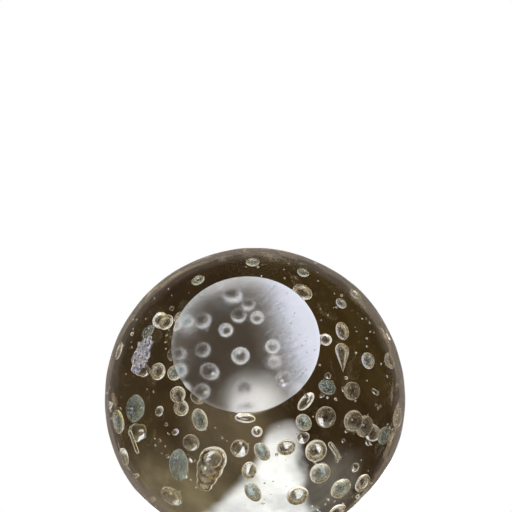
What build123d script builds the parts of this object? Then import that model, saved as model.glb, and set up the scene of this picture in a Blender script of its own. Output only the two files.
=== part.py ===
"""Bubbled glass paperweight: a solid ball gathered in three layers over trapped air bubbles.

Frame: the ball stands on its ground base.  The origin is the centre of the base face, +Z is up,
and the ball's centre is on the Z axis.  All lengths are millimetres and all angles are degrees.
"""
import os
from math import asin, cos, degrees, radians, sin, sqrt
from random import Random

from build123d import *

# ---- driving dimensions -------------------------------------------------------------------------
BALL_DIAMETER = 75.0
BASE_DIAMETER = 35.0            # ground and lapped flat that the ball stands on
GROUND_DEPTH = 0.3              # skin of the base that grinding has left matt
MIDDLE_SHARE = 0.72             # radius of the middle gather, as a share of the ball's
CORE_SHARE = 0.48               # radius of the core gather, as a share of the ball's
OUTER_AIR_SHARE = 0.80          # the bubbles that the outer gather closed over
FOLDED_AIR_SHARE = 0.85         # the large folded void, which stands further out for its size
CORE_AIR_SHARE = 0.55           # the bubbles that the middle gather closed over

# ---- worked out from them -----------------------------------------------------------------------
BALL_RADIUS = BALL_DIAMETER / 2
BASE_RADIUS = BASE_DIAMETER / 2
CENTRE_HEIGHT = sqrt(BALL_RADIUS**2 - BASE_RADIUS**2)
MIDDLE_RADIUS = MIDDLE_SHARE * BALL_RADIUS
CORE_RADIUS = CORE_SHARE * BALL_RADIUS
OUTER_AIR = OUTER_AIR_SHARE * BALL_RADIUS
FOLDED_AIR = FOLDED_AIR_SHARE * BALL_RADIUS
CORE_AIR = CORE_AIR_SHARE * BALL_RADIUS

# ---- trapped air --------------------------------------------------------------------------------
# Pits in the surface of one gather are closed over by the next, and the air in them draws itself
# round just above the seam, so a bubble lies whole in the gather that closed over it.  Its place
# is (tilt, turn): tilt from straight down, as seen from the ball's centre, and turn round +Z from
# +X.  A long bubble lies along the seam, and spin turns its long axis from the way to the base.

# closed over by the outer gather, clear and round: tilt, turn, diameter
ROUND_BUBBLES = [
    (48, -47, 4.0), (44, -76, 4.2), (55, -117, 5.2), (46, -132, 4.9), (72, -101, 5.0),
    (41, 1, 4.0), (41, 35, 3.8), (51, -154, 4.2), (76, 180, 4.0), (90, -161, 4.4),
]
# the same, drawn out: tilt, turn, length, width, spin
OVAL_BUBBLES = [
    (39, 138, 4.8, 4.2, 100), (71, 148, 4.8, 2.6, 20), (45, 172, 4.6, 3.4, 75),
    (54, -81, 4.6, 3.5, 170), (47, -103, 4.6, 3.8, 80), (81, -45, 5.6, 5.0, 85),
    (87, -59, 5.4, 3.0, 105), (72, 24, 4.4, 2.9, 80), (82, 4, 4.2, 2.0, 155),
    (87, -17, 5.4, 3.6, 10), (91, -130, 5.5, 4.2, 175), (83, 166, 3.6, 2.0, 50),
]
# just over the base: tilt, turn, length, width, spin
BASE_BUBBLES = [
    (30, 86, 5.2, 4.0, 50), (23, 101, 3.5, 3.5, 0), (17, 87, 3.8, 3.8, 0), (16, 117, 3.4, 3.4, 0),
    (13, 53, 3.5, 3.5, 0), (20, 9, 3.8, 3.8, 0), (5, -50, 4.4, 4.4, 0), (12, -172, 3.6, 3.6, 0),
    (23, -129, 4.0, 4.0, 0), (20, -24, 5.0, 4.0, 110), (29, -35, 4.0, 4.0, 0),
    (26, 46, 4.2, 4.2, 0), (32, 9, 3.2, 3.2, 0),
]
# bubbles whose wall is grained like frost, round: tilt, turn, diameter
FROSTED_ROUND_BUBBLES = [
    (58, -174, 3.8), (66, -114, 4.9), (82, -149, 4.1), (53, 154, 2.8), (50, 101, 3.1),
    (46, 69, 3.1), (52, 128, 2.8), (82, -120, 5.0), (33, -6, 3.5), (34, 40, 3.4),
]
# the same grained wall, drawn out: tilt, turn, length, width, spin
FROSTED_OVAL_BUBBLES = [
    (60, -9, 6.6, 5.2, 30), (61, -45, 8.2, 4.6, 15), (37, -46, 5.2, 3.6, 45),
    (46, -89, 4.8, 3.3, 25), (65, -82, 5.8, 3.5, 20), (41, -119, 4.2, 3.4, 5),
    (39, -147, 4.6, 3.1, 10), (50, 29, 3.8, 2.6, 35), (77, -6, 5.0, 4.2, 65),
]
# a drop drawn to a point: tilt, turn, length, width, spin of the pointed end
TEAR_BUBBLES = [(43, -170, 7.2, 3.6, 95), (104, 150, 6.0, 3.0, 200), (112, -60, 6.4, 3.2, 20)]
# bubbles that have run together in a row: tilt, turn, spin, diameters along the row, spacing
TWIN_BUBBLES = [
    (62, -143, 16, (5.2, 5.0), 4.2), (37, -26, -117, (3.9, 3.7), 3.2), (112, 22, 143, (4.6, 4.0), 3.2),
]
# the one large void, folded over on itself, from its narrow tail
FOLDED_BUBBLES = [(56.2, -61, -8, (4.4, 5.8, 7.0, 7.0), 2.8)]
# thin air lines, drawn out like needles: tilt, turn, length, diameter, spin
ROD_BUBBLES = [(61, -125, 5.8, 1.2, 2), (72, -19, 6.0, 1.4, 68), (88, -26, 4.0, 1.1, 155),
               (94, -36, 4.0, 1.0, 160), (108, 95, 5.0, 1.2, 30)]

# a patch of froth, in rows over a leaf shape
FROTH_TILT, FROTH_TURN, FROTH_SPIN = 50.5, 16.5, 60
FROTH_ROWS = (2, 3, 4, 3, 2, 1)
FROTH_PITCH = 1.45
FROTH_DIAMETERS = (1.05, 1.3)

# closed over by the middle gather: tilt, turn, length, width, spin
CORE_BUBBLES = [
    (56, -118, 3.0, 2.3, 90), (34, -77, 4.4, 2.0, 87), (42, -87, 2.4, 2.4, 0),
    (41, -137, 4.8, 2.4, 85), (21, -73, 3.4, 3.4, 0), (18, -161, 3.2, 3.2, 0),
    (62, -27, 2.0, 1.2, 163), (50, 166, 2.6, 2.6, 0), (64, -10, 2.4, 1.6, 20),
]

# bubbles scattered where no pattern is kept, from a fixed seed
SCATTER_SEED = 11
SCATTER_GAP = 0.5               # least glass between two neighbours
CLEAR_CAP = (157, 90, 28)       # tilt, turn and half-angle of the clear window near the top
SIDE_TILTS = (84, 172)
SIDE_COUNT, FROSTED_SIDE_COUNT = 14, 10
SIDE_DIAMETERS = (2.6, 5.0)
CORE_SIDE_COUNT = 7
CORE_SIDE_DIAMETERS = (1.8, 3.2)
SEED_COUNT, CORE_SEED_COUNT = 70, 16
SEED_TILTS = (12, 179)
SEED_DIAMETERS = (0.5, 1.1)
SEED_RADII = (MIDDLE_RADIUS + 1.2, BALL_RADIUS - 1.5)


def place_on(radius, tilt, turn, spin=0.0):
    """Frame on a gather's surface: Z points outward, X is the long axis that spin gives."""
    inward_turn = Rotation(0, 0, turn) * Rotation(0, 180 - tilt, 0)
    return Pos(0, 0, CENTRE_HEIGHT) * inward_turn * Pos(0, 0, radius) * Rotation(0, 0, spin)


def egg(length, width):
    """Ellipsoid of revolution about X, or a sphere where the two sizes are the same."""
    if abs(length - width) < 1e-6:
        return Sphere(width / 2)
    outline = EllipticalCenterArc((0, 0), length / 2, width / 2, arc_size=180)
    profile = make_face(outline + Line(outline @ 1, outline @ 0))
    return revolve(profile, Axis.X)


def drop(length, width):
    """Round at the back and drawn to a point along +X."""
    back_radius = width / 2
    tip = length - back_radius
    touch = degrees(asin(back_radius / tip))
    join = (back_radius * sin(radians(touch)), back_radius * cos(radians(touch)))
    back = CenterArc((0, 0), back_radius, 90 - touch, 90 + touch)
    profile = make_face(Line((tip, 0), join) + back + Line((-back_radius, 0), (tip, 0)))
    return revolve(profile, Axis.X)


def row(diameters, spacing):
    """Balls that have run together, in a row along X with its middle at the origin."""
    radii = [diameter / 2 for diameter in diameters]
    places = [(index - (len(radii) - 1) / 2) * spacing for index in range(len(radii))]
    start = (places[0] - radii[0], 0)
    outline = []
    for index, (place, radius) in enumerate(zip(places, radii)):
        end = (place + radius, 0)
        if index + 1 < len(radii):
            neck = spacing / 2 + (radius**2 - radii[index + 1]**2) / (2 * spacing)
            end = (place + neck, sqrt(radius**2 - neck**2))
        outline.append(ThreePointArc(start, (place, radius), end))
        start = end
    outline.append(Line(start, (places[0] - radii[0], 0)))
    return revolve(make_face(outline), Axis.X)


def rod(length, diameter):
    """Needle of air along X with round ends."""
    end_radius = diameter / 2
    straight = length - diameter
    body = Rotation(0, 90, 0) * Cylinder(end_radius, straight)
    ends = [Pos(side * straight / 2, 0, 0) * Sphere(end_radius) for side in (-1, 1)]
    return body + ends


def eggs_on(radius, sizes):
    return [place_on(radius, tilt, turn, spin) * egg(length, width)
            for tilt, turn, length, width, spin in sizes]


def balls_on(radius, sizes):
    return [place_on(radius, tilt, turn) * Sphere(diameter / 2) for tilt, turn, diameter in sizes]


def rows_on(radius, sizes):
    return [place_on(radius, tilt, turn, spin) * row(diameters, spacing)
            for tilt, turn, spin, diameters, spacing in sizes]


def froth():
    """Small round bubbles in rows over a leaf shape, close but not touching."""
    patch = place_on(OUTER_AIR, FROTH_TILT, FROTH_TURN, FROTH_SPIN)
    bubbles = []
    for row, count in enumerate(FROTH_ROWS):
        along = (row - (len(FROTH_ROWS) - 1) / 2) * FROTH_PITCH
        for column in range(count):
            across = (column - (count - 1) / 2) * FROTH_PITCH
            sag = (along**2 + across**2) / (2 * OUTER_AIR)
            diameter = FROTH_DIAMETERS[(row + column) % 2]
            bubbles.append(patch * Pos(along, across, -sag) * Sphere(diameter / 2))
    return bubbles


def direction(tilt, turn):
    flat = sin(radians(tilt))
    return Vector(flat * cos(radians(turn)), flat * sin(radians(turn)), -cos(radians(tilt)))


def scatter(dice, radii, count, tilts, diameters, taken):
    """Round bubbles at random places, clear of all that is taken, the base and the clear window."""
    window = direction(*CLEAR_CAP[:2])
    low, high = (cos(radians(tilt)) for tilt in tilts)
    placed = []
    while len(placed) < count:
        tilt = degrees(asin(1)) - degrees(asin(dice.uniform(high, low)))
        turn = dice.uniform(-180, 180)
        diameter = dice.uniform(*diameters)
        middle = direction(tilt, turn) * dice.uniform(*radii)
        if diameter > SEED_DIAMETERS[1] and middle.get_angle(window) < CLEAR_CAP[2]:
            continue
        gaps = [(middle - centre).length - diameter / 2 - reach for centre, reach in taken]
        gaps.append(CENTRE_HEIGHT + middle.Z - diameter / 2 - GROUND_DEPTH)
        if min(gaps) < SCATTER_GAP:
            continue
        taken.append((middle, diameter / 2))
        placed.append(Pos(middle.X, middle.Y, middle.Z + CENTRE_HEIGHT) * Sphere(diameter / 2))
    return placed


def reach_of(radius, sizes):
    """Centre and half-length of each bubble in a list, for keeping others clear of it."""
    return [(direction(size[0], size[1]) * radius, size[2] / 2) for size in sizes]


# ---- places of the scattered bubbles ------------------------------------------------------------
dice = Random(SCATTER_SEED)
rows = [(tilt, turn, len(diameters) * spacing)
        for tilt, turn, _, diameters, spacing in TWIN_BUBBLES]
folded = [(tilt, turn, (len(diameters) - 1) * spacing + max(diameters))
          for tilt, turn, _, diameters, spacing in FOLDED_BUBBLES]
froth_patch = [(FROTH_TILT, FROTH_TURN, len(FROTH_ROWS) * FROTH_PITCH)]
listed = (ROUND_BUBBLES + OVAL_BUBBLES + BASE_BUBBLES + FROSTED_ROUND_BUBBLES
          + FROSTED_OVAL_BUBBLES + TEAR_BUBBLES + ROD_BUBBLES + rows + froth_patch)
taken = reach_of(OUTER_AIR, listed) + reach_of(FOLDED_AIR, folded)
outer_air, core_air = (OUTER_AIR, OUTER_AIR), (CORE_AIR, CORE_AIR)
side = scatter(dice, outer_air, SIDE_COUNT, SIDE_TILTS, SIDE_DIAMETERS, taken)
frosted_side = scatter(dice, outer_air, FROSTED_SIDE_COUNT, SIDE_TILTS, SIDE_DIAMETERS, taken)
seeds = scatter(dice, SEED_RADII, SEED_COUNT, SEED_TILTS, SEED_DIAMETERS, taken)
core_taken = reach_of(CORE_AIR, CORE_BUBBLES)
core_side = scatter(dice, core_air, CORE_SIDE_COUNT, SIDE_TILTS, CORE_SIDE_DIAMETERS, core_taken)
core_seeds = scatter(dice, core_air, CORE_SEED_COUNT, SEED_TILTS, SEED_DIAMETERS, core_taken)

# ---- the air ------------------------------------------------------------------------------------
tears = [place_on(OUTER_AIR, tilt, turn, spin) * Pos(-(length - width) / 2, 0, 0)
         * drop(length, width) for tilt, turn, length, width, spin in TEAR_BUBBLES]
rods = [place_on(OUTER_AIR, tilt, turn, spin) * rod(length, diameter)
        for tilt, turn, length, diameter, spin in ROD_BUBBLES]
outer_groups = {
    "round_bubbles": balls_on(OUTER_AIR, ROUND_BUBBLES),
    "oval_bubbles": eggs_on(OUTER_AIR, OVAL_BUBBLES),
    "base_bubbles": eggs_on(OUTER_AIR, BASE_BUBBLES),
    "side_bubbles": side,
    "frosted_round_bubbles": balls_on(OUTER_AIR, FROSTED_ROUND_BUBBLES),
    "frosted_oval_bubbles": eggs_on(OUTER_AIR, FROSTED_OVAL_BUBBLES),
    "frosted_side_bubbles": frosted_side,
    "tear_bubbles": tears,
    "twin_bubbles": rows_on(OUTER_AIR, TWIN_BUBBLES),
    "folded_bubble": rows_on(FOLDED_AIR, FOLDED_BUBBLES),
    "rod_bubbles": rods,
    "froth_bubbles": froth(),
    "seed_bubbles": seeds,
}
core_groups = {
    "core_bubbles": eggs_on(CORE_AIR, CORE_BUBBLES),
    "core_side_bubbles": core_side,
    "core_seed_bubbles": core_seeds,
}

# ---- the glass ----------------------------------------------------------------------------------
centre = Pos(0, 0, CENTRE_HEIGHT)
outer_pits = [bubble for group in outer_groups.values() for bubble in group]
core_pits = [bubble for group in core_groups.values() for bubble in group]

core_gather = centre * Sphere(CORE_RADIUS)
middle_gather = centre * Sphere(MIDDLE_RADIUS) - core_gather - core_pits

# the outer gather, cut off flat below, where a skin of the glass is left matt by grinding
below = Pos(0, 0, -BALL_RADIUS) * Cylinder(BALL_DIAMETER, BALL_DIAMETER)
ball = centre * Sphere(BALL_RADIUS) - below
skin = Cylinder(BALL_RADIUS, GROUND_DEPTH, align=(Align.CENTER, Align.CENTER, Align.MIN))
ground_base = ball & skin
outer_gather = ball - skin - centre * Sphere(MIDDLE_RADIUS) - outer_pits

# ---- one file for each node ---------------------------------------------------------------------
glass = {"core_gather": [core_gather], "middle_gather": [middle_gather],
         "outer_gather": [outer_gather], "ground_base": [ground_base]}
os.makedirs("parts", exist_ok=True)
for name, solids in {**glass, **outer_groups, **core_groups}.items():
    group = Compound(children=solids) if len(solids) > 1 else solids[0]
    group.label = name
    export_step(group, f"parts/{name}.step")
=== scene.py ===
"""Looks of the bubbled glass ball paperweight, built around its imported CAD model.

Metres and degrees.  The ball stands on its ground base at the origin, +Z up.  The camera looks at
the ball from below, past the one-sided floor, so that the ground base faces it.
"""

from math import asin, cos, pi, radians, sin, sqrt
from random import Random

import bmesh
import bpy
import numpy as np
from mathutils import Matrix, Vector, noise
from mathutils.bvhtree import BVHTree


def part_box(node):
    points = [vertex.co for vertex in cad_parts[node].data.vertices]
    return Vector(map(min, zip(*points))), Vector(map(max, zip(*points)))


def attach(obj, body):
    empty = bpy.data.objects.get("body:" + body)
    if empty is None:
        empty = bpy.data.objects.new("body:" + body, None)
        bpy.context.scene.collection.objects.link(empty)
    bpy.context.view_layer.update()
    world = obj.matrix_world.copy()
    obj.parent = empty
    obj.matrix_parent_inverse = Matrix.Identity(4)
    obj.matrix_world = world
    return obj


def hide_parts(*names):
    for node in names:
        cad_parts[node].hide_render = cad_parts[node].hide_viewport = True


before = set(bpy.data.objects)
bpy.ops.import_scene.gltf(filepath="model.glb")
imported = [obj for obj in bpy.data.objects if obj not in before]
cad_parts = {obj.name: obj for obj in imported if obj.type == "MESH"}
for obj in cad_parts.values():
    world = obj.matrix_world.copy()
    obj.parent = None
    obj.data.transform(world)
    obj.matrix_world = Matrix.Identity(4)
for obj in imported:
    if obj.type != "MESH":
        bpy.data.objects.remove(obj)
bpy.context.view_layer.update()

MM = 0.001
WHITE = (1, 1, 1, 1)

# ---- the ball's own sizes, from the frame --------------------------------------------------------
ball_low, ball_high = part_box("outer_gather")
BALL_RADIUS = (ball_high.x - ball_low.x) / 2
CENTRE = Vector((0, 0, ball_high.z - BALL_RADIUS))

# ---- camera --------------------------------------------------------------------------------------
CAMERA_DISTANCE = 0.45          # from the ball's centre
CAMERA_LEAN = radians(22.9)     # between the sight line and the base's axis
CAMERA_ROLL = radians(9.7)
AIM_ABOVE = 0.949 * BALL_RADIUS     # the ball sits low in the picture and its foot is cut off
AIM_SIDE = 0.008 * BALL_RADIUS
LENS_MM = 126.1

# ---- glass ---------------------------------------------------------------------------------------
GLASS_IOR = 1.5
SMOKE_COLOUR = (0.83, 0.74, 0.52)   # what is left of white light after the absorption length
SMOKE_DENSITY = 15.0
POLISH_WEAR = (0.008, 0.05)         # roughness of the polished outside: fresh, along the hairlines
SHEEN_SIDE = (-0.99, 0.12, 0)      # the side of the base made milkier, a painted sheen for a light's reflection there
SHEEN_FROM, SHEEN_TO = -1.0, 19.0     # mm from the base's middle toward that side
# milkiness along that side, a painted sheen that the white world lights
SHEEN_STOPS = [(0.0, (0.01,) * 3), (0.35, (0.02,) * 3), (0.50, (0.08,) * 3), (0.63, (0.25,) * 3),
              (0.74, (0.48,) * 3), (0.86, (0.78,) * 3), (1.0, (0.90,) * 3)]
MILK_AND_SHEEN_TONES = [(0.05, (1.0, 0.96, 0.88)), (0.5, (0.86, 0.89, 1.0))]      # clear, milky: the milky tone is the painted sheen's bluish white, also used on the rim
SHEEN_BREAK_UP = 9.0             # mm by which the lapping lines move the edge of the painted sheen
RIM_FROM, RIM_TO = 16.4, 17.6   # mm from the middle: the milky rim of the base
RIM_MILK = 0.14
SATIN_ROUGHNESS = (0.34, 0.38)
LAPPING_TURN = radians(62)
CROSS_TURN = LAPPING_TURN / 2
LINE_RELIEF = 0.0015 * MM
CROSS_RELIEF = 0.001 * MM
GRAIN_RELIEF = 0.0015 * MM
PIT_RELIEF = 0.03 * MM

# ---- the skin of the ball ------------------------------------------------------------------------
LATHE_TURNS = 320
LATHE_RINGS = 190
BASE_RINGS = 26
BASE_EDGE_GAP = 0.003           # share of the base's radius, between its outer ring and the arris
ARRIS_RADIUS = 0.8 * MM
ARRIS_STEPS = 5
SHAPE_WANDER = 0.28 * MM        # how far the hand-shaped outside leaves a true ball
WANDER_PITCH = 1.7              # cells of the noise in a radius of the ball
WANDER_SEAT = Vector((3.1, 0, 7.7))
SHAPE_RIPPLE = 0.09 * MM
RIPPLE_PITCH = 9.0
TRUE_BELOW, FREE_ABOVE = 1 * MM, 15 * MM    # heights between which the shape comes free of the flat

# ---- bubbles -------------------------------------------------------------------------------------
FROST_RELIEF = 0.14 * MM
# how the walls sink: (share of the depth, cells of the noise in a millimetre)
SMOOTH_WAVES = ((0.7, 0.35), (0.3, 0.9))
LUMPY_WAVES = ((0.6, 0.5), (0.4, 1.4))
FOLDED_WAVES = ((0.8, 0.42), (0.2, 0.9))
ROUND_SINK = 0.10               # of the distance from a bubble's middle, at most
OVAL_SINK = 0.14
FOLDED_SINK = 0.42
FROTH_SINK = 0.15
SEED_SINK = 0.20
# how often the walls are divided
BUBBLE_DETAIL = 4
FOLDED_DETAIL = 5
FROTH_DETAIL = 2
SEED_DETAIL = 3
FILM_SHARE = np.array([0.82, 1.05, 0.40])   # of the froth patch's length, width and depth
FILM_CRUMPLE = 0.5
FILM_PITCH = 4.0
FILM_DETAIL = 3
FINE_SEEDS = 260
FINE_SEED_SIZES = (0.14 * MM, 0.32 * MM)
FINE_SEED_FLATTEST = 0.75       # of its size
FINE_SEED_REACH = (0.55, 0.96)  # of the ball's radius, from its middle
FINE_SEED_HEIGHTS = (-0.93, 1)  # of that reach
FINE_SEED_LOWEST = 1.2 * MM
FINE_SEED_DETAIL = 2

# ---- surroundings: degrees from the sight line's far end, and round from the picture's right -----
ROOM_COLOUR = (0.044, 0.028, 0.013)
ROOM_GLOWS = [                  # away, turn, full within, gone beyond, colour; painted in this order
    (55, 215, 5, 45, (0.060, 0.039, 0.012)),        # olive beyond the upper right
    (42, 5, 10, 40, (0.062, 0.043, 0.022)),
    (48, 62, 8, 32, (0.25, 0.22, 0.15)),            # lit table, left of the window
    (12, 62, 5, 16, (0.15, 0.125, 0.09)),
    (38, 122, 9, 20, (0.18, 0.175, 0.17)),          # window reveal
    (180, 0, 117, 118.5, (0.19, 0.16, 0.14)),       # everything behind the rim of the far side
    (2, 270, 0.0, 6.5, (1.0, 1.0, 1.0)),            # bare lamp straight beyond the ball
]
# the window: a wedge of light, narrow at its foot, from (away, turn) to (away, turn)
WINDOW_FOOT, WINDOW_HEAD = (12, 125), (54, 92)
WINDOW_FOOT_SIZE, WINDOW_HEAD_SIZE = (1, 5), (10, 24)       # full within, gone beyond
WINDOW_STEPS = 12
WINDOW_FOOT_COLOUR = (0.80, 0.85, 1.04)
WINDOW_COLOUR = (1.40, 1.55, 1.85)
WINDOW_RISE, WINDOW_BEND, WINDOW_WIDENING = 1.4, 2, 1.6     # powers that shape the wedge
WINDOW_FULL_AT = 0.25           # of the way up
WINDOW_DIMMING = 0.13
ROOM_CLUTTER = (7.0, 0.76, 1.08)    # pitch, dimmest, brightest
LAMP_CLUTTER = (3.5, 0.55, 1.3)
LAMP_COLOUR = (0.88, 0.88, 0.90)
LAMP_GLOWS = [
    (80, 40, 10, 35, (0.95, 0.90, 0.30)),
    (80, 200, 15, 50, (0.70, 0.74, 1.1)),
    (70, 95, 15, 45, (1.8, 1.8, 1.8)),
    (180, 0, 30, 46, (0.02, 0.018, 0.015)),         # dark behind the camera
]
SHINE_COLOUR = (0.04, 0.035, 0.03)
SHINE_GLOWS = [
    (0, 0, 42, 55, (0.25, 0.22, 0.20)),
    (22.9, 279.7, 17, 21, (5.0, 5.1, 5.3)),         # softbox straight over the ball
]
FLOOR_COLOUR = (0.86, 0.86, 0.85)
FLOOR_HALF, FLOOR_HEIGHT = 3.0, -0.1 * MM


# ---- node helpers --------------------------------------------------------------------------------
def new_material(name):
    material = bpy.data.materials.new(name)
    material.use_nodes = True
    tree = material.node_tree
    return material, tree, tree.nodes["Principled BSDF"]


def add_node(tree, kind, **values):
    """A node with its input sockets and properties set by name."""
    node = tree.nodes.new(kind)
    for name, value in values.items():
        label = name.replace("_", " ")
        if label in node.inputs:
            node.inputs[label].default_value = value
        else:
            setattr(node, name, value)
    return node


def own_place(tree, stretch=(1, 1, 1), turn=(0, 0, 0)):
    """The surface's own coordinates in millimetres, stretched and turned."""
    place = tree.nodes.new("ShaderNodeTexCoord")
    mapping = add_node(tree, "ShaderNodeMapping", vector_type="TEXTURE")
    mapping.inputs["Scale"].default_value = [MM / share for share in stretch]
    mapping.inputs["Rotation"].default_value = turn
    tree.links.new(place.outputs["Object"], mapping.inputs["Vector"])
    return mapping.outputs["Vector"]


def ramp(tree, source, stops):
    """Colours along a value: stops are (position, (r, g, b))."""
    node = tree.nodes.new("ShaderNodeValToRGB")
    elements = node.color_ramp.elements
    while len(elements) < len(stops):
        elements.new(0.5)
    for element, (position, colour) in zip(elements, stops):
        element.position = position
        element.color = (*colour, 1)
    tree.links.new(source, node.inputs["Fac"])
    return node.outputs["Color"]


def levels(tree, source, span, out, curve="LINEAR"):
    """A value that runs over the one span, carried over to the other and held at its ends."""
    node = add_node(tree, "ShaderNodeMapRange", interpolation_type=curve)
    for socket, value in zip(node.inputs[1:5], (*span, *out)):
        socket.default_value = value
    tree.links.new(source, node.inputs["Value"])
    return node.outputs["Result"]


def noise_node(tree, place, **values):
    node = add_node(tree, "ShaderNodeTexNoise", **values)
    tree.links.new(place, node.inputs["Vector"])
    return node.outputs["Fac"]


def cell_distance(tree, place, scale):
    node = add_node(tree, "ShaderNodeTexVoronoi", Scale=scale, Randomness=1.0)
    tree.links.new(place, node.inputs["Vector"])
    return node.outputs["Distance"]


def scaled(tree, colour, share):
    """A colour times a value."""
    node = add_node(tree, "ShaderNodeVectorMath", operation="SCALE")
    tree.links.new(colour, node.inputs[0])
    tree.links.new(share, node.inputs["Scale"])
    return node.outputs[0]


def combined(tree, operation, first, second, **values):
    """Two values or numbers put together by this operation."""
    node = add_node(tree, "ShaderNodeMath", operation=operation, **values)
    for socket, value in zip(node.inputs, (first, second)):
        if isinstance(value, (int, float)):
            socket.default_value = value
        else:
            tree.links.new(value, socket)
    return node.outputs[0]


def bump(tree, height, distance, strength=1.0, after=None):
    """Relief of this height in metres, on top of the relief that comes before it."""
    node = add_node(tree, "ShaderNodeBump", Strength=strength, Distance=distance)
    tree.links.new(height, node.inputs["Height"])
    if after is not None:
        tree.links.new(after, node.inputs["Normal"])
    return node.outputs["Normal"]


# ---- materials -----------------------------------------------------------------------------------
def polished_glass():
    """Fire-polished smoky glass with faint waves and hairline wear."""
    material, tree, shader = new_material("polished_glass")
    shader.inputs["Transmission Weight"].default_value = 1.0
    shader.inputs["IOR"].default_value = GLASS_IOR
    shader.inputs["Base Color"].default_value = WHITE
    waves = noise_node(tree, own_place(tree), Scale=0.22, Detail=2.0)
    along_hairs = own_place(tree, stretch=(0.25, 3.0, 0.8), turn=(0.5, 0.3, 0.9))
    hairs = noise_node(tree, along_hairs, Scale=1.1, Detail=3.0, Distortion=0.4)
    tree.links.new(levels(tree, hairs, (0.62, 0.78), POLISH_WEAR), shader.inputs["Roughness"])
    tree.links.new(bump(tree, waves, 0.10 * MM, strength=0.35), shader.inputs["Normal"])
    smoke = add_node(tree, "ShaderNodeVolumeAbsorption", Density=SMOKE_DENSITY)
    smoke.inputs["Color"].default_value = (*SMOKE_COLOUR, 1)
    tree.links.new(smoke.outputs["Volume"], tree.nodes["Material Output"].inputs["Volume"])
    return material


def milk_and_painted_sheen(tree, place, lines):
    """How milky the flat is: more toward one side, which is a painted sheen, and in a rim, broken up by
    the lapping.
    """
    across = add_node(tree, "ShaderNodeVectorMath", operation="DOT_PRODUCT")
    across.inputs[1].default_value = SHEEN_SIDE
    tree.links.new(place, across.inputs[0])
    sweep = add_node(tree, "ShaderNodeMath", operation="MULTIPLY_ADD")
    tree.links.new(lines, sweep.inputs[0])
    sweep.inputs[1].default_value = SHEEN_BREAK_UP
    tree.links.new(across.outputs["Value"], sweep.inputs[2])
    # painted sheen: the flat milkier toward one side
    side_sheen = ramp(tree, levels(tree, sweep.outputs[0], (SHEEN_FROM, SHEEN_TO), (0, 1)), SHEEN_STOPS)
    reach = add_node(tree, "ShaderNodeVectorMath", operation="LENGTH")
    tree.links.new(place, reach.inputs[0])
    rim = levels(tree, reach.outputs["Value"], (RIM_FROM, RIM_TO), (0, RIM_MILK))
    return combined(tree, "ADD", side_sheen, rim, use_clamp=True)


def ground_glass():
    """Satin flat, milkier toward one side as a painted sheen: lapping lines, a fine grain and a few
    dark pits.
    """
    material, tree, shader = new_material("ground_glass")
    shader.inputs["IOR"].default_value = GLASS_IOR
    place = own_place(tree)
    along_lines = own_place(tree, stretch=(2.6, 0.3, 1), turn=(0, 0, LAPPING_TURN))
    along_cross = own_place(tree, stretch=(3.0, 0.3, 1), turn=(0, 0, CROSS_TURN))
    grain = noise_node(tree, place, Scale=3.2, Detail=6.0, Roughness=0.7)
    lines = noise_node(tree, along_lines, Scale=0.9, Detail=5.0, Roughness=0.75)
    cross = noise_node(tree, along_cross, Scale=0.8, Detail=4.0, Roughness=0.7)
    pit = levels(tree, cell_distance(tree, place, 0.8), (0.10, 0.17), (0.3, 1.0))

    # milky share of the flat: the painted sheen and the rim, with dark pits; its tone is the sheen's
    # bluish white
    milk_sheen_and_pits = combined(tree, "MULTIPLY", milk_and_painted_sheen(tree, place, lines), pit)
    tree.links.new(combined(tree, "SUBTRACT", 1.0, milk_sheen_and_pits), shader.inputs["Transmission Weight"])
    mottled = levels(tree, grain, (0.34, 0.66), (0.88, 1.0))
    tone = scaled(tree, ramp(tree, milk_sheen_and_pits, MILK_AND_SHEEN_TONES), mottled)
    tree.links.new(tone, shader.inputs["Base Color"])
    tree.links.new(levels(tree, grain, (0.3, 0.7), SATIN_ROUGHNESS), shader.inputs["Roughness"])

    relief = bump(tree, lines, LINE_RELIEF, strength=0.5)
    relief = bump(tree, cross, CROSS_RELIEF, strength=0.5, after=relief)
    relief = bump(tree, grain, GRAIN_RELIEF, strength=0.5, after=relief)
    relief = bump(tree, pit, PIT_RELIEF, strength=0.6, after=relief)
    tree.links.new(relief, shader.inputs["Normal"])
    return material


def trapped_air():
    """Bright wall of a bubble: less dense than the glass round it, with faint dimples."""
    material, tree, shader = new_material("trapped_air")
    shader.inputs["Transmission Weight"].default_value = 1.0
    shader.inputs["IOR"].default_value = 1 / GLASS_IOR
    shader.inputs["Base Color"].default_value = WHITE
    dimples = noise_node(tree, own_place(tree), Scale=1.3, Detail=3.0)
    tree.links.new(levels(tree, dimples, (0.4, 0.7), (0.0, 0.06)), shader.inputs["Roughness"])
    tree.links.new(bump(tree, dimples, 0.06 * MM, strength=0.5), shader.inputs["Normal"])
    return material


def silvered(name, dark, light, silver, cell, clarity=1.0):
    """Wall of a bubble that is grained like frost: cells of this size in mm and silvery specks."""
    material, tree, shader = new_material(name)
    shader.inputs["Transmission Weight"].default_value = clarity
    shader.inputs["IOR"].default_value = 1 / GLASS_IOR
    place = own_place(tree)
    cells = cell_distance(tree, place, 1 / cell)
    cloud = noise_node(tree, place, Scale=1.4, Detail=6.0, Roughness=0.7)
    tree.links.new(ramp(tree, cloud, [(0.42, dark), (0.60, light)]), shader.inputs["Base Color"])
    tree.links.new(levels(tree, cloud, (0.38, 0.62), (0.02, 0.12)), shader.inputs["Roughness"])
    tree.links.new(levels(tree, cells, (0.55, 0.75), (0.0, silver)), shader.inputs["Metallic"])
    relief = bump(tree, cells, FROST_RELIEF)
    relief = bump(tree, cloud, FROST_RELIEF, after=relief)
    tree.links.new(relief, shader.inputs["Normal"])
    return material


def grained_air():
    """Teal, frosted wall."""
    return silvered("grained_air", (0.42, 0.60, 0.65), (0.97, 1.0, 0.98), silver=0.6, cell=0.5)


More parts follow.
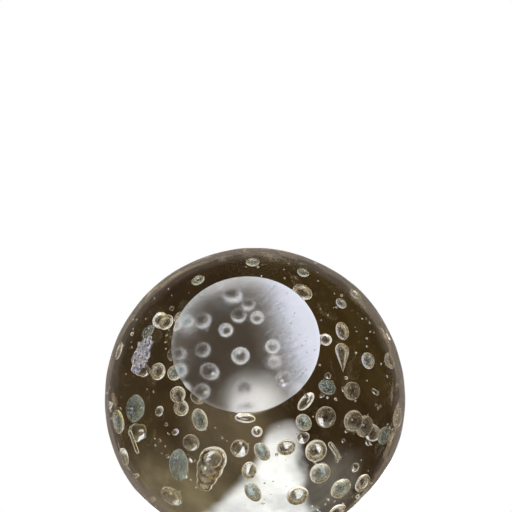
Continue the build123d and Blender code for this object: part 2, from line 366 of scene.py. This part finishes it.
def froth_air():
    """Crystalline wall, from violet to white, that lets little light through."""
    return silvered("froth_air", (0.13, 0.14, 0.36), (1.0, 0.98, 1.0), silver=0.5, cell=0.9,
                    clarity=0.35)


# ---- mesh helpers --------------------------------------------------------------------------------
def make_object(name, points, faces, materials, smooth=True):
    """A piece of the object, riding on its one body."""
    mesh = bpy.data.meshes.new(name)
    mesh.from_pydata([tuple(point) for point in points], [], faces)
    mesh.validate()
    mesh.polygons.foreach_set("use_smooth", [smooth] * len(mesh.polygons))
    for material in materials:
        mesh.materials.append(material)
    piece = bpy.data.objects.new(name, mesh)
    bpy.context.scene.collection.objects.link(piece)
    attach(piece, "root")
    return piece


def unit_ball(detail):
    """Points and triangles of a ball of radius 1, evenly divided."""
    work = bmesh.new()
    bmesh.ops.create_icosphere(work, subdivisions=detail, radius=1.0)
    points = np.array([vertex.co[:] for vertex in work.verts])
    faces = [[vertex.index for vertex in face.verts] for face in work.faces]
    work.free()
    return points, faces


def islands(node):
    """The separate closed shells of a CAD node, each as (points, triangles)."""
    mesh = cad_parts[node].data
    places = np.zeros(len(mesh.vertices) * 3)
    mesh.vertices.foreach_get("co", places)
    mesh.calc_loop_triangles()
    corners = np.zeros(len(mesh.loop_triangles) * 3, int)
    mesh.loop_triangles.foreach_get("vertices", corners)
    points, merged = np.unique(np.round(places.reshape(-1, 3), 8), axis=0, return_inverse=True)
    triangles = merged.reshape(-1)[corners].reshape(-1, 3)
    label = np.arange(len(points))
    while True:
        least = label[triangles].min(axis=1)
        before = label.copy()
        np.minimum.at(label, triangles.reshape(-1), np.repeat(least, 3))
        label = label[label]
        if (label == before).all():
            break
    shells = []
    for mark in np.unique(label[triangles[:, 0]]):
        own = triangles[label[triangles[:, 0]] == mark]
        used, renamed = np.unique(own, return_inverse=True)
        shells.append((points[used], renamed.reshape(-1, 3)))
    return shells


def bubble_wall(shell, template, uneven, waves):
    """A fresh, evenly divided wall over one CAD bubble, sunk a little here and there."""
    points, triangles = shell
    middle = points.mean(axis=0)
    axes = np.linalg.svd(points - middle, full_matrices=False)[2]
    along = (points - middle) @ axes.T
    middle = middle + (along.max(axis=0) + along.min(axis=0)) / 2 @ axes
    half = (along.max(axis=0) - along.min(axis=0)) / 2
    tree = BVHTree.FromPolygons([Vector(point) for point in points], triangles.tolist())
    out = []
    for unit in template:
        way = Vector((unit * half) @ axes).normalized()
        reach = tree.ray_cast(Vector(middle), way)[3] or half.min()
        seat = Vector(unit + middle / MM)
        sink = sum(share * (0.5 + 0.5 * noise.noise(seat * pitch)) for share, pitch in waves)
        out.append(Vector(middle) + way * reach * (1 - uneven * sink))
    return out


# ---- pieces --------------------------------------------------------------------------------------
def ball_profile():
    """Half section from the top to the middle of the base: (radius, height, ground)."""
    arris_across = sqrt((BALL_RADIUS - ARRIS_RADIUS)**2 - (CENTRE.z - ARRIS_RADIUS)**2)
    arris_turn = asin(arris_across / (BALL_RADIUS - ARRIS_RADIUS))
    section = []
    for step in range(1, LATHE_RINGS + 1):
        turn = (pi - arris_turn) * step / LATHE_RINGS
        section.append((BALL_RADIUS * sin(turn), CENTRE.z + BALL_RADIUS * cos(turn), False))
    for step in range(1, ARRIS_STEPS + 1):
        turn = arris_turn * (1 - step / ARRIS_STEPS)
        across = arris_across + ARRIS_RADIUS * sin(turn)
        section.append((across, ARRIS_RADIUS * (1 - cos(turn)), step > ARRIS_STEPS / 2))
    for step in range(BASE_RINGS):
        share = 1 - BASE_EDGE_GAP if step == 0 else 1 - step / BASE_RINGS
        section.append((arris_across * share, 0.0, True))
    return section


def shape_of_hand(point):
    """Move a point of the true ball to where the maker's block left it; the base stays flat."""
    out = (point - CENTRE).normalized()
    free = min(1.0, max(0.0, (point.z - TRUE_BELOW) / (FREE_ABOVE - TRUE_BELOW)))
    wander = SHAPE_WANDER * noise.noise(out * WANDER_PITCH + WANDER_SEAT)
    ripple = SHAPE_RIPPLE * noise.noise(out * RIPPLE_PITCH)
    return point + out * free * (wander + ripple)


def build_ball(materials):
    section = ball_profile()
    top = Vector((0, 0, CENTRE.z + BALL_RADIUS))
    points = [shape_of_hand(top)]
    for radius, height, _ in section:
        for turn in range(LATHE_TURNS):
            angle = 2 * pi * turn / LATHE_TURNS
            points.append(shape_of_hand(Vector((radius * cos(angle), radius * sin(angle), height))))
    points.append(Vector((0, 0, 0)))
    last = len(points) - 1
    faces, ground = [], []
    for turn in range(LATHE_TURNS):
        beside = (turn + 1) % LATHE_TURNS
        faces.append((0, 1 + turn, 1 + beside))
        ground.append(False)
        for ring in range(len(section) - 1):
            start, below = 1 + ring * LATHE_TURNS, 1 + (ring + 1) * LATHE_TURNS
            faces.append((start + turn, below + turn, below + beside, start + beside))
            ground.append(section[ring][2])
        start = 1 + (len(section) - 1) * LATHE_TURNS
        faces.append((start + turn, last, start + beside))
        ground.append(True)
    ball = make_object("glass_ball", points, faces, materials)
    ball.data.polygons.foreach_set("material_index", [int(matt) for matt in ground])
    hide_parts("core_gather", "middle_gather", "outer_gather", "ground_base")
    return ball


def film_over(shells, template):
    """Thin lens-shaped void that joins a patch of bubbles."""
    cloud = np.concatenate([points for points, _ in shells])
    middle = cloud.mean(axis=0)
    axes = np.linalg.svd(cloud - middle, full_matrices=False)[2]
    half = np.abs((cloud - middle) @ axes.T).max(axis=0) * FILM_SHARE
    out = []
    for unit in template:
        crumple = 1 + FILM_CRUMPLE * noise.noise(Vector(unit * FILM_PITCH))
        out.append(Vector(middle + (unit * half) @ axes * crumple))
    return out


def build_bubbles(node, material, detail, uneven, waves, smooth=True, film=False):
    """One piece over all the bubbles of a CAD node."""
    shells = islands(node)
    template, triangles = unit_ball(detail)
    points, faces = [], []
    if film:
        sheet, sheet_triangles = unit_ball(FILM_DETAIL)
        points += film_over(shells, sheet)
        faces += sheet_triangles
    for shell in shells:
        start = len(points)
        points += bubble_wall(shell, template, uneven, waves)
        faces += [[start + corner for corner in face] for face in triangles]
    piece = make_object(node + "_walls", points, faces, [material], smooth)
    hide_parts(node)
    return piece


def build_all_bubbles():
    """Every bubble node of the CAD model, by its look."""
    clear, grained, frothy = trapped_air(), grained_air(), froth_air()
    for node in ("round_bubbles", "base_bubbles", "side_bubbles", "core_bubbles", "core_side_bubbles"):
        build_bubbles(node, clear, BUBBLE_DETAIL, ROUND_SINK, SMOOTH_WAVES)
    for node in ("oval_bubbles", "tear_bubbles", "twin_bubbles"):
        build_bubbles(node, clear, BUBBLE_DETAIL, OVAL_SINK, LUMPY_WAVES)
    build_bubbles("folded_bubble", clear, FOLDED_DETAIL, FOLDED_SINK, FOLDED_WAVES)
    build_bubbles("rod_bubbles", clear, SEED_DETAIL, ROUND_SINK, SMOOTH_WAVES)
    for node in ("frosted_round_bubbles", "frosted_oval_bubbles", "frosted_side_bubbles"):
        build_bubbles(node, grained, BUBBLE_DETAIL, ROUND_SINK, LUMPY_WAVES)
    build_bubbles("froth_bubbles", frothy, FROTH_DETAIL, FROTH_SINK, LUMPY_WAVES,
                  smooth=False, film=True)
    for node in ("seed_bubbles", "core_seed_bubbles"):
        build_bubbles(node, clear, SEED_DETAIL, SEED_SINK, SMOOTH_WAVES)
    build_fine_seeds(clear)


def build_fine_seeds(material):
    """Dust-fine bubbles in the outer glass, too small to be worth a place in the CAD model."""
    dice = Random(5)
    template, triangles = unit_ball(FINE_SEED_DETAIL)
    points, faces = [], []
    for _ in range(FINE_SEEDS):
        height = dice.uniform(*FINE_SEED_HEIGHTS)
        turn = dice.uniform(0, 2 * pi)
        across = sqrt(1 - height**2)
        way = Vector((across * cos(turn), across * sin(turn), height))
        reach = BALL_RADIUS * dice.uniform(*FINE_SEED_REACH)
        size = dice.uniform(*FINE_SEED_SIZES)
        middle = CENTRE + way * reach
        if middle.z < FINE_SEED_LOWEST:
            continue
        start = len(points)
        stretch = Vector([dice.uniform(FINE_SEED_FLATTEST, 1) for _ in range(3)])
        points += [middle + Vector(unit * size) * stretch for unit in template]
        faces += [[start + corner for corner in face] for face in triangles]
    return make_object("fine_seed_walls", points, faces, [material])


# ---- studio --------------------------------------------------------------------------------------
def sight_axes():
    """From the camera through the ball's centre, and the picture's up and right."""
    far = Vector((0, sin(CAMERA_LEAN), cos(CAMERA_LEAN)))
    lean_up = Vector((0, cos(CAMERA_LEAN), -sin(CAMERA_LEAN)))
    up = lean_up * cos(CAMERA_ROLL) + far.cross(lean_up) * sin(CAMERA_ROLL)
    return far, up, far.cross(up)


def build_camera():
    """Camera under the ball, leaning from the base's axis and rolled as the ball lay."""
    far, up, right = sight_axes()
    place = CENTRE - far * CAMERA_DISTANCE
    forward = (CENTRE + up * AIM_ABOVE + right * AIM_SIDE - place).normalized()
    right = forward.cross(up).normalized()
    turn = Matrix((right, right.cross(forward), -forward)).transposed().to_4x4()
    camera = bpy.data.objects.new("camera", bpy.data.cameras.new("camera"))
    camera.data.lens = LENS_MM
    camera.data.clip_start = 0.01
    camera.matrix_world = Matrix.Translation(place) @ turn
    bpy.context.scene.collection.objects.link(camera)
    bpy.context.scene.camera = camera


def build_floor():
    """Pale floor that shows its top side only, and not by way of a wall inside the ball."""
    material = bpy.data.materials.new("pale_floor")
    material.use_nodes = True
    tree = material.node_tree
    shader = tree.nodes["Principled BSDF"]
    shader.inputs["Base Color"].default_value = (*FLOOR_COLOUR, 1)
    shader.inputs["Roughness"].default_value = 0.7
    side = tree.nodes.new("ShaderNodeNewGeometry")
    path = tree.nodes.new("ShaderNodeLightPath")
    unseen = combined(tree, "MAXIMUM", side.outputs["Backfacing"], path.outputs["Glossy Depth"],
                      use_clamp=True)
    clear = tree.nodes.new("ShaderNodeBsdfTransparent")
    surface = tree.nodes.new("ShaderNodeMixShader")
    tree.links.new(unseen, surface.inputs[0])
    tree.links.new(shader.outputs[0], surface.inputs[1])
    tree.links.new(clear.outputs[0], surface.inputs[2])
    tree.links.new(surface.outputs[0], tree.nodes["Material Output"].inputs["Surface"])
    mesh = bpy.data.meshes.new("floor")
    corners = [(-1, -1), (1, -1), (1, 1), (-1, 1)]
    mesh.from_pydata([(x * FLOOR_HALF, y * FLOOR_HALF, FLOOR_HEIGHT) for x, y in corners],
                     [], [(0, 1, 2, 3)])
    mesh.materials.append(material)
    floor = bpy.data.objects.new("floor", mesh)
    bpy.context.scene.collection.objects.link(floor)
    floor.visible_shadow = False
    floor.visible_glossy = False
    floor.visible_diffuse = False


def beyond(away, turn):
    """Direction this far from the sight line's far end, turned from the picture's right hand."""
    far, up, right = sight_axes()
    away, turn = radians(away), radians(turn)
    return far * cos(away) + (right * cos(turn) + up * sin(turn)) * sin(away)


def add_glow(tree, before, place, way, inner, outer, colour):
    """Paint a colour round a direction: full within the inner angle, gone beyond the outer one."""
    along = add_node(tree, "ShaderNodeVectorMath", operation="DOT_PRODUCT")
    along.inputs[1].default_value = way
    tree.links.new(place, along.inputs[0])
    span = (cos(radians(outer)), cos(radians(inner)))
    share = levels(tree, along.outputs["Value"], span, (0, 1), curve="SMOOTHSTEP")
    mix = add_node(tree, "ShaderNodeMix", data_type="RGBA", clamp_factor=True)
    tree.links.new(share, mix.inputs["Factor"])
    tree.links.new(before, mix.inputs[6])
    mix.inputs[7].default_value = (*colour, 1)
    return mix.outputs[2]


def light_map(tree, place, ground, glows):
    """A colour by direction: an even ground and the glows on top of it."""
    total = add_node(tree, "ShaderNodeCombineXYZ", X=ground[0], Y=ground[1], Z=ground[2]).outputs[0]
    for away, turn, inner, outer, colour in glows:
        total = add_glow(tree, total, place, beyond(away, turn), inner, outer, colour)
    return total


def window_glows():
    """The window as glows in a row, wider and a little dimmer from its foot to its head."""
    glows = []
    for step in range(WINDOW_STEPS):
        share = step / (WINDOW_STEPS - 1)
        away = WINDOW_FOOT[0] + (WINDOW_HEAD[0] - WINDOW_FOOT[0]) * share**WINDOW_RISE
        turn = WINDOW_HEAD[1] + (WINDOW_FOOT[1] - WINDOW_HEAD[1]) * (1 - share)**WINDOW_BEND
        sizes = [foot + (head - foot) * share**WINDOW_WIDENING
                 for foot, head in zip(WINDOW_FOOT_SIZE, WINDOW_HEAD_SIZE)]
        full = min(1.0, share / WINDOW_FULL_AT)
        colour = [(foot + (pane - foot) * full) * (1 - WINDOW_DIMMING * share)
                  for foot, pane in zip(WINDOW_FOOT_COLOUR, WINDOW_COLOUR)]
        glows.append((away, turn, *sizes, colour))
    return glows


def cluttered(tree, place, colour, pitch, dimmest, brightest):
    """The same light, uneven as it is in a furnished room."""
    clutter = noise_node(tree, place, Scale=pitch, Detail=3.0)
    return scaled(tree, colour, levels(tree, clutter, (0.38, 0.62), (dimmest, brightest)))


def either(tree, test, when_off, when_on):
    """One colour or the other."""
    mix = add_node(tree, "ShaderNodeMix", data_type="RGBA")
    tree.links.new(test, mix.inputs["Factor"])
    tree.links.new(when_off, mix.inputs[6])
    tree.links.new(when_on, mix.inputs[7])
    return mix.outputs[2]


def build_world():
    """White to the camera and the floor.  The glass sees a warm dark room; light that comes by way
    of a wall inside the ball finds the lamps and panes of that room, and its outside shine is faint."""
    world = bpy.data.worlds.new("room")
    bpy.context.scene.world = world
    world.use_nodes = True
    world.cycles.sampling_method = "NONE"
    tree = world.node_tree
    place = tree.nodes.new("ShaderNodeTexCoord").outputs["Generated"]
    path = tree.nodes.new("ShaderNodeLightPath")
    room = light_map(tree, place, ROOM_COLOUR, ROOM_GLOWS + window_glows())
    room = cluttered(tree, place, room, *ROOM_CLUTTER)
    lamps = light_map(tree, place, LAMP_COLOUR, LAMP_GLOWS)
    lamps = cluttered(tree, place, lamps, *LAMP_CLUTTER)
    shine = light_map(tree, place, SHINE_COLOUR, SHINE_GLOWS)
    by_a_wall = combined(tree, "MINIMUM", path.outputs["Glossy Depth"], 1)
    plain = combined(tree, "MAXIMUM", path.outputs["Is Camera Ray"], path.outputs["Is Diffuse Ray"])
    white = add_node(tree, "ShaderNodeCombineXYZ", X=1, Y=1, Z=1).outputs[0]
    colour = either(tree, by_a_wall, room, lamps)
    colour = either(tree, path.outputs["Is Reflection Ray"], colour, shine)
    colour = either(tree, plain, colour, white)
    tree.links.new(colour, tree.nodes["Background"].inputs["Color"])


def set_rendering():
    """Plain colours, and enough bounces for light to cross many bubbles."""
    scene = bpy.context.scene
    scene.view_settings.view_transform = "Standard"
    scene.cycles.use_denoising = True
    scene.cycles.max_bounces = 24
    scene.cycles.transmission_bounces = 22
    scene.cycles.glossy_bounces = 12
    scene.cycles.sample_clamp_indirect = 20


# ---- build ---------------------------------------------------------------------------------------
build_camera()
build_floor()
build_world()
build_ball([polished_glass(), ground_glass()])
build_all_bubbles()
set_rendering()
